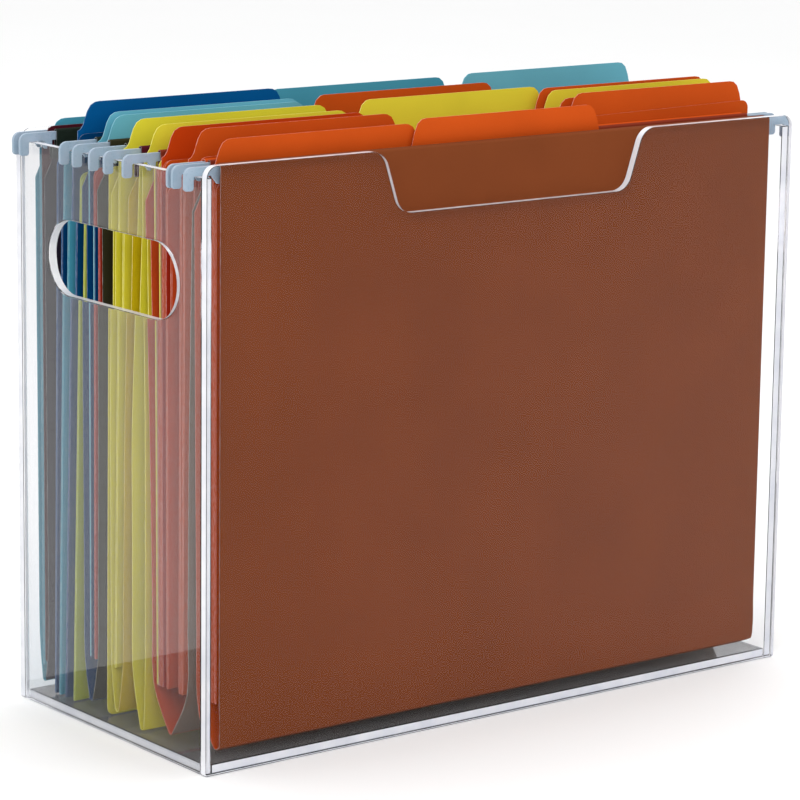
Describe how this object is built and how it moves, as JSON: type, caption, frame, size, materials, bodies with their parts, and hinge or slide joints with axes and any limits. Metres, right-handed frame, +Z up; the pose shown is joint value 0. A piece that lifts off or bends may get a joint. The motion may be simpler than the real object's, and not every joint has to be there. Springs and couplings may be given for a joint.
{
  "type": "desktop file sorter",
  "caption": "Open-topped clear acrylic desktop box with handle slots and a front finger dip, holding hanging folders on hooked rails and tabbed file folders.",
  "frame": {"origin": "centre of the box's footprint, on the surface it stands on", "axes": "+X along the wide front, to the right seen from the front; +Y from the front to the back; +Z up"},
  "size_m": [0.327, 0.143, 0.2655],
  "materials": {
    "acrylic": "polished clear acrylic",
    "rail": "translucent pale plastic",
    "teal": "dyed matt card",
    "blue": "dyed matt card",
    "yellow": "dyed matt card",
    "orange": "dyed matt card",
    "red": "dyed matt card",
    "lime": "dyed matt card",
    "black_sheet": "dyed matt card",
    "maroon_sheet": "dyed matt card",
    "orange_sheet": "dyed matt card",
    "brown_sheet": "dyed matt card"
  },
  "bodies": {
    "box": {"front_panel": "acrylic", "back_panel": "acrylic", "left_panel": "acrylic", "right_panel": "acrylic", "bottom_panel": "acrylic"},
    "hanging_folder_1": {"hanging_1_rear_rail": "rail", "hanging_1_front_rail": "rail", "hanging_1_sheet": "maroon_sheet"},
    "hanging_folder_2": {"hanging_2_rear_rail": "rail", "hanging_2_front_rail": "rail", "hanging_2_sheet": "black_sheet"},
    "hanging_folder_3": {"hanging_3_rear_rail": "rail", "hanging_3_front_rail": "rail", "hanging_3_sheet": "black_sheet"},
    "hanging_folder_4": {"hanging_4_rear_rail": "rail", "hanging_4_front_rail": "rail", "hanging_4_sheet": "orange_sheet"},
    "hanging_folder_5": {"hanging_5_rear_rail": "rail", "hanging_5_front_rail": "rail", "hanging_5_sheet": "brown_sheet"},
    "teal_rear_file_body": {"teal_rear_file": "teal"},
    "blue_right_file_body": {"blue_right_file": "blue"},
    "teal_centre_file_body": {"teal_centre_file": "teal"},
    "blue_left_file_body": {"blue_left_file": "blue"},
    "lime_divider_body": {"lime_divider": "lime"},
    "teal_left_file_body": {"teal_left_file": "teal"},
    "teal_right_file_body": {"teal_right_file": "teal"},
    "teal_front_file_body": {"teal_front_file": "teal"},
    "red_divider_body": {"red_divider": "red"},
    "orange_centre_file_body": {"orange_centre_file": "orange", "yellow_insert": "yellow"},
    "yellow_rear_file_body": {"yellow_rear_file": "yellow"},
    "yellow_centre_file_body": {"yellow_centre_file": "yellow"},
    "orange_left_file_body": {"orange_left_file": "orange"},
    "orange_rear_file_body": {"orange_rear_file": "orange"},
    "yellow_right_file_body": {"yellow_right_file": "yellow"},
    "orange_divider_body": {"orange_divider": "orange"},
    "orange_hidden_file_body": {"orange_hidden_file": "orange"},
    "orange_middle_file_body": {"orange_middle_file": "orange"},
    "orange_right_file_body": {"orange_right_file": "orange"},
    "orange_front_file_body": {"orange_front_file": "orange"},
    "orange_mid_front_file_body": {"orange_mid_front_file": "orange"},
    "maroon_divider_body": {"maroon_divider": "maroon_sheet"},
    "yellow_left_file_body": {"yellow_left_file": "yellow"}
  },
  "joints": [
    {"name": "lift_hanging_folder_1", "type": "slide", "parent": "box", "child": "hanging_folder_1", "axis": [0, 0, 1], "range_m": [0, 0.51]},
    {"name": "lift_hanging_folder_2", "type": "slide", "parent": "box", "child": "hanging_folder_2", "axis": [0, 0, 1], "range_m": [0, 0.51]},
    {"name": "lift_hanging_folder_3", "type": "slide", "parent": "box", "child": "hanging_folder_3", "axis": [0, 0, 1], "range_m": [0, 0.51]},
    {"name": "lift_hanging_folder_4", "type": "slide", "parent": "box", "child": "hanging_folder_4", "axis": [0, 0, 1], "range_m": [0, 0.51]},
    {"name": "lift_hanging_folder_5", "type": "slide", "parent": "box", "child": "hanging_folder_5", "axis": [0, 0, 1], "range_m": [0, 0.51]},
    {"name": "lift_teal_rear_file", "type": "slide", "parent": "hanging_folder_1", "child": "teal_rear_file_body", "axis": [0, 0, 1], "range_m": [0, 0.235]},
    {"name": "lift_blue_right_file", "type": "slide", "parent": "box", "child": "blue_right_file_body", "axis": [0, -0.0198, 0.9998], "range_m": [0, 0.25]},
    {"name": "lift_teal_centre_file", "type": "slide", "parent": "box", "child": "teal_centre_file_body", "axis": [0, -0.0291, 0.9996], "range_m": [0, 0.25]},
    {"name": "lift_blue_left_file", "type": "slide", "parent": "box", "child": "blue_left_file_body", "axis": [0, -0.0355, 0.9994], "range_m": [0, 0.25]},
    {"name": "lift_lime_divider", "type": "slide", "parent": "box", "child": "lime_divider_body", "axis": [0, -0.0325, 0.9995], "range_m": [0, 0.25]},
    {"name": "lift_teal_left_file", "type": "slide", "parent": "hanging_folder_2", "child": "teal_left_file_body", "axis": [0, -0.0026, 1], "range_m": [0, 0.235]},
    {"name": "lift_teal_right_file", "type": "slide", "parent": "hanging_folder_2", "child": "teal_right_file_body", "axis": [0, -0.0029, 1], "range_m": [0, 0.235]},
    {"name": "lift_teal_front_file", "type": "slide", "parent": "hanging_folder_2", "child": "teal_front_file_body", "axis": [0, -0.0034, 1], "range_m": [0, 0.235]},
    {"name": "lift_red_divider", "type": "slide", "parent": "hanging_folder_2", "child": "red_divider_body", "axis": [0, -0.0043, 1], "range_m": [0, 0.235]},
    {"name": "lift_orange_centre_file", "type": "slide", "parent": "box", "child": "orange_centre_file_body", "axis": [0, -0.0105, 0.9999], "range_m": [0, 0.25]},
    {"name": "lift_yellow_rear_file", "type": "slide", "parent": "hanging_folder_3", "child": "yellow_rear_file_body", "axis": [0, -0.0215, 0.9998], "range_m": [0, 0.235]},
    {"name": "lift_yellow_centre_file", "type": "slide", "parent": "hanging_folder_4", "child": "yellow_centre_file_body", "axis": [0, 0.0093, 1], "range_m": [0, 0.235]},
    {"name": "lift_orange_left_file", "type": "slide", "parent": "hanging_folder_4", "child": "orange_left_file_body", "axis": [0, 0.0073, 1], "range_m": [0, 0.235]},
    {"name": "lift_orange_rear_file", "type": "slide", "parent": "hanging_folder_4", "child": "orange_rear_file_body", "axis": [0, 0.0055, 1], "range_m": [0, 0.235]},
    {"name": "lift_yellow_right_file", "type": "slide", "parent": "hanging_folder_4", "child": "yellow_right_file_body", "axis": [0, 0.0038, 1], "range_m": [0, 0.235]},
    {"name": "lift_orange_divider", "type": "slide", "parent": "hanging_folder_4", "child": "orange_divider_body", "axis": [0, 0.0033, 1], "range_m": [0, 0.235]},
    {"name": "lift_orange_hidden_file", "type": "slide", "parent": "hanging_folder_4", "child": "orange_hidden_file_body", "axis": [0, -0.0043, 1], "range_m": [0, 0.235]},
    {"name": "lift_orange_middle_file", "type": "slide", "parent": "hanging_folder_4", "child": "orange_middle_file_body", "axis": [0, -0.0068, 1], "range_m": [0, 0.235]},
    {"name": "lift_orange_right_file", "type": "slide", "parent": "hanging_folder_4", "child": "orange_right_file_body", "axis": [0, -0.0093, 1], "range_m": [0, 0.235]},
    {"name": "lift_orange_front_file", "type": "slide", "parent": "hanging_folder_5", "child": "orange_front_file_body", "axis": [0, 0.0026, 1], "range_m": [0, 0.235]},
    {"name": "lift_orange_mid_front_file", "type": "slide", "parent": "hanging_folder_5", "child": "orange_mid_front_file_body", "axis": [0, 0.0034, 1], "range_m": [0, 0.235]},
    {"name": "lift_maroon_divider", "type": "slide", "parent": "hanging_folder_1", "child": "maroon_divider_body", "axis": [0, 0, 1], "range_m": [0, 0.235]},
    {"name": "lift_yellow_left_file", "type": "slide", "parent": "box", "child": "yellow_left_file_body", "axis": [0, 0, 1], "range_m": [0, 0.25]}
  ]
}
